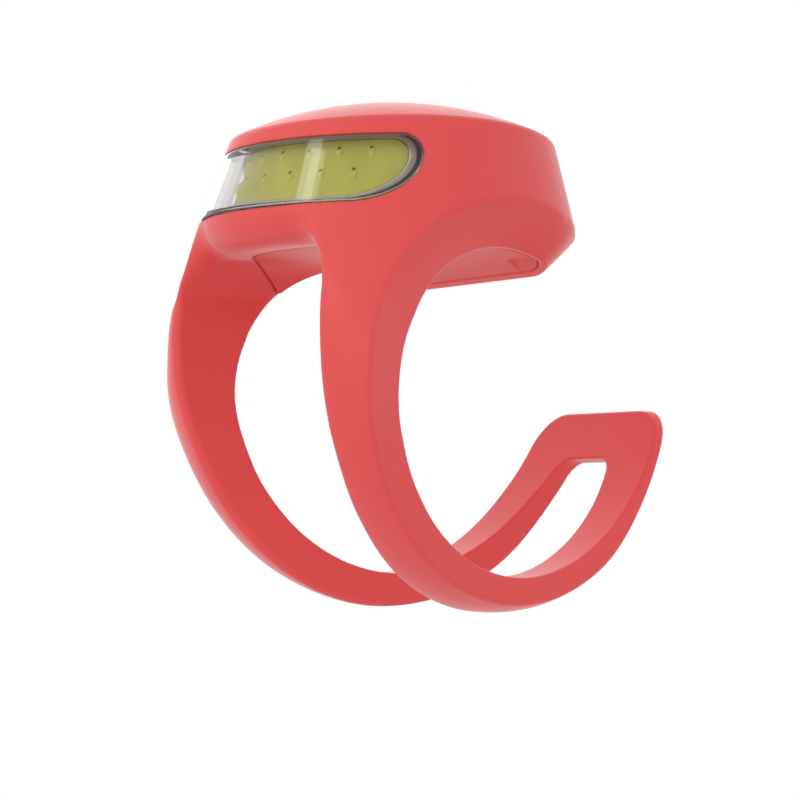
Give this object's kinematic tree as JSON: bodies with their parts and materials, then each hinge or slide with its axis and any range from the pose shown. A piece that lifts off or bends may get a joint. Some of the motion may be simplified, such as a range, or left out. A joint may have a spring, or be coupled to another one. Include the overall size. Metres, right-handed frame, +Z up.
{
  "type": "bicycle headlight",
  "caption": "Silicone handlebar headlight: a round domed head with a wide clear lens, a press button under its skin, and a split strap loop that hooks round the bar.",
  "frame": {"origin": "centre of the handlebar's axis, midway along the saddle", "axes": "+X along the handlebar, -Y the way the beam points, +Z up through the domed head"},
  "size_m": [0.0414, 0.0568, 0.0567],
  "materials": {
    "silicone": "matte, moulded in one colour",
    "clear_lens": "polished clear polycarbonate",
    "silver_trim": "satin",
    "yellow_phosphor": "semi-gloss cast resin",
    "led_chip": "satin",
    "circuit_board": "solder mask, semi-gloss",
    "white_plastic": "moulded",
    "amber_film": "film",
    "black_plastic": "moulded, fine texture",
    "tan_ceramic": "ceramic",
    "zinc_steel": "zinc plated",
    "cell_steel": "rolled and stamped",
    "spring_brass": "stamped sheet",
    "gasket_rubber": "matte",
    "cover_plastic": "moulded, satin",
    "red_plastic": "moulded"
  },
  "bodies": {
    "root": {"silicone_jacket": "silicone", "lens_cover": "clear_lens", "panel_bezel": "silver_trim", "phosphor_panel": "yellow_phosphor", "led_dies": "led_chip", "led_board": "circuit_board", "main_board": "circuit_board", "led_carrier": "white_plastic", "led_ribbon": "amber_film", "inner_case": "black_plastic", "cell_holder": "black_plastic", "switch_body": "black_plastic", "driver_chip": "black_plastic", "board_passives": "tan_ceramic", "board_screws": "zinc_steel", "coin_cell_lower": "cell_steel", "coin_cell_upper": "cell_steel", "positive_contact": "spring_brass", "negative_contact": "spring_brass", "cover_gasket": "gasket_rubber", "battery_cover": "cover_plastic"},
    "dome_button": {"button_dome": "silicone", "button_post": "silicone"},
    "plunger": {"switch_plunger": "red_plastic"},
    "strap_front": {"strap_lower_left": "silicone", "strap_lower_right": "silicone"},
    "strap_under": {"strap_rear_left": "silicone", "strap_rear_right": "silicone"},
    "strap_end": {"strap_tip": "silicone"}
  },
  "joints": [
    {"name": "button_press", "type": "slide", "parent": "root", "child": "dome_button", "axis": [0, 0, -1], "range_m": [0, 0.0006], "stiffness_N_per_m": 3000},
    {"name": "plunger_travel", "type": "slide", "parent": "root", "child": "plunger", "axis": [0, 0, -1], "range_m": [0, 0.00025]},
    {"name": "strap_front_bend", "type": "hinge", "parent": "root", "child": "strap_front", "pos_m": [0, -0.01666, -0.00886], "axis": [1, 0, 0], "range_deg": [-18, 12], "stiffness_Nm_per_rad": 0.06},
    {"name": "strap_under_bend", "type": "hinge", "parent": "strap_front", "child": "strap_under", "pos_m": [0, -0.00293, -0.02083], "axis": [1, 0, 0], "range_deg": [-18, 12], "stiffness_Nm_per_rad": 0.05},
    {"name": "strap_end_bend", "type": "hinge", "parent": "strap_under", "child": "strap_end", "pos_m": [0, 0.0181, -0.0163], "axis": [1, 0, 0], "range_deg": [-18, 12], "stiffness_Nm_per_rad": 0.04}
  ],
  "couplings": [
    {"joint": "plunger_travel", "follows": "button_press", "ratio": 0.4166},
    {"joint": "strap_under_bend", "follows": "strap_front_bend", "ratio": 1},
    {"joint": "strap_end_bend", "follows": "strap_front_bend", "ratio": 1}
  ]
}
